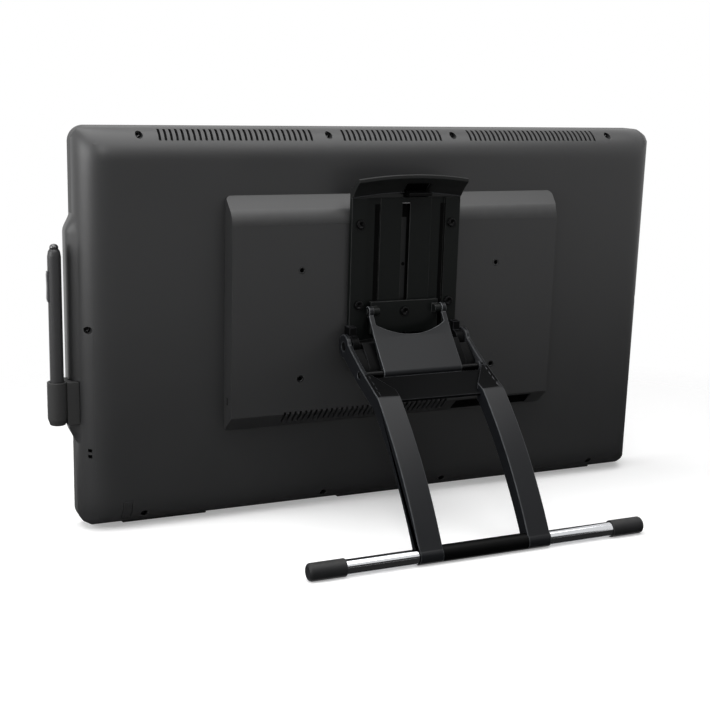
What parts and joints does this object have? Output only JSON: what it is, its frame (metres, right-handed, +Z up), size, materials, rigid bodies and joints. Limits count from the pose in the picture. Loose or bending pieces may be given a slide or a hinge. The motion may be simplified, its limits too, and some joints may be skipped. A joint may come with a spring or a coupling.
{
  "type": "graphics tablet with screen",
  "caption": "Pen display on a swinging rear leg stand with a sliding carriage, a link plate, a floor bar and a pen in a side clip; the screen leans back as the legs swing out.",
  "frame": {"origin": "middle of the middle foot's face, on the table", "axes": "+Z up, -Y the way the screen faces, +X to the side that carries the pen"},
  "size_m": [0.6153, 0.2457, 0.3603],
  "materials": {
    "bezel_plastic": "fine texture",
    "shell_plastic": "fine texture",
    "screen_glass": "etched",
    "panel_stack": "satin",
    "tray_plastic": "satin",
    "circuit_board": "satin",
    "sheet_metal": "satin",
    "plated_steel": "satin",
    "black_plastic": "fine texture",
    "black_screw": "satin",
    "rubber": "matte",
    "black_metal": "fine texture",
    "grey_metal": "satin",
    "bright_tube": "polished",
    "pen_plastic": "soft touch",
    "key_plastic": "satin"
  },
  "bodies": {
    "display": {"front_bezel": "bezel_plastic", "cover_glass": "screen_glass", "lcd_panel": "panel_stack", "backlight_tray": "tray_plastic", "digitizer_sheet": "circuit_board", "shield_plate": "sheet_metal", "chassis_frame": "sheet_metal", "chassis_screws": "plated_steel", "main_board": "circuit_board", "power_board": "circuit_board", "key_board": "circuit_board", "video_socket": "plated_steel", "usb_socket": "plated_steel", "power_socket": "black_plastic", "rear_cover": "shell_plastic", "rear_plug": "shell_plastic", "cover_screws": "black_screw", "mount_inserts": "plated_steel", "table_feet": "rubber", "stand_bracket": "black_metal", "bracket_screws": "black_screw", "hood": "black_metal", "lever_pin": "plated_steel", "leg_hinge_pin": "plated_steel", "hinge_washers": "black_plastic", "pen_holder": "black_plastic"},
    "legs": {"left_leg": "grey_metal", "right_leg": "grey_metal", "cross_plate": "grey_metal", "link_pin": "plated_steel", "floor_tube": "bright_tube", "bar_sleeve": "black_plastic", "end_cap_left": "rubber", "end_cap_right": "rubber"},
    "carriage": {"slider_carriage": "black_metal", "slider_bolt": "black_screw"},
    "link": {"link_plate": "grey_metal"},
    "lever": {"release_lever": "black_plastic"},
    "pen": {"pen_barrel": "pen_plastic", "pen_end_cap": "pen_plastic"},
    "pen_switch": {"pen_side_switch": "key_plastic"},
    "nib": {"pen_nib": "pen_plastic"},
    "power_key": {"power_button": "key_plastic"},
    "key_1": {"function_key_1": "key_plastic"},
    "key_2": {"function_key_2": "key_plastic"},
    "key_3": {"function_key_3": "key_plastic"},
    "key_4": {"function_key_4": "key_plastic"}
  },
  "joints": [
    {"name": "legs_swing", "type": "hinge", "parent": "display", "child": "legs", "pos_m": [0, 0.07628, 0.1615], "axis": [1, 0, 0], "range_deg": [0, 90]},
    {"name": "carriage_slide", "type": "slide", "parent": "display", "child": "carriage", "axis": [0, 0.0698, 0.9976], "range_m": [0, 0.06347]},
    {"name": "link_fold", "type": "hinge", "parent": "legs", "child": "link", "pos_m": [0, 0.11049, 0.14036], "axis": [1, 0, 0], "range_deg": [-108.33, 0]},
    {"name": "lever_squeeze", "type": "hinge", "parent": "display", "child": "lever", "pos_m": [-0.008, 0.08046, 0.30005], "axis": [1, 0, 0], "range_deg": [0, 12], "stiffness_Nm_per_rad": 0.3},
    {"name": "pen_lift", "type": "slide", "parent": "display", "child": "pen", "axis": [0, 0.0698, 0.9976], "range_m": [0, 0.06]},
    {"name": "pen_switch_rock", "type": "hinge", "parent": "pen", "child": "pen_switch", "pos_m": [0.3157, 0.02241, 0.22251], "axis": [0, 0.9976, -0.0698], "range_deg": [-2, 2], "stiffness_Nm_per_rad": 0.05},
    {"name": "nib_press", "type": "slide", "parent": "pen", "child": "nib", "axis": [0, 0.0698, 0.9976], "range_m": [0, 0.0005], "stiffness_N_per_m": 300},
    {"name": "power_press", "type": "slide", "parent": "display", "child": "power_key", "axis": [0, 0.9976, -0.0698], "range_m": [0, 0.0008], "stiffness_N_per_m": 600},
    {"name": "key_1_press", "type": "slide", "parent": "display", "child": "key_1", "axis": [0, 0.9976, -0.0698], "range_m": [0, 0.0008], "stiffness_N_per_m": 600},
    {"name": "key_2_press", "type": "slide", "parent": "display", "child": "key_2", "axis": [0, 0.9976, -0.0698], "range_m": [0, 0.0008], "stiffness_N_per_m": 600},
    {"name": "key_3_press", "type": "slide", "parent": "display", "child": "key_3", "axis": [0, 0.9976, -0.0698], "range_m": [0, 0.0008], "stiffness_N_per_m": 600},
    {"name": "key_4_press", "type": "slide", "parent": "display", "child": "key_4", "axis": [0, 0.9976, -0.0698], "range_m": [0, 0.0008], "stiffness_N_per_m": 600}
  ],
  "couplings": [
    {"joint": "carriage_slide", "follows": "legs_swing", "m_per_rad": 0.04009},
    {"joint": "link_fold", "follows": "legs_swing", "ratio": -1.1981}
  ]
}
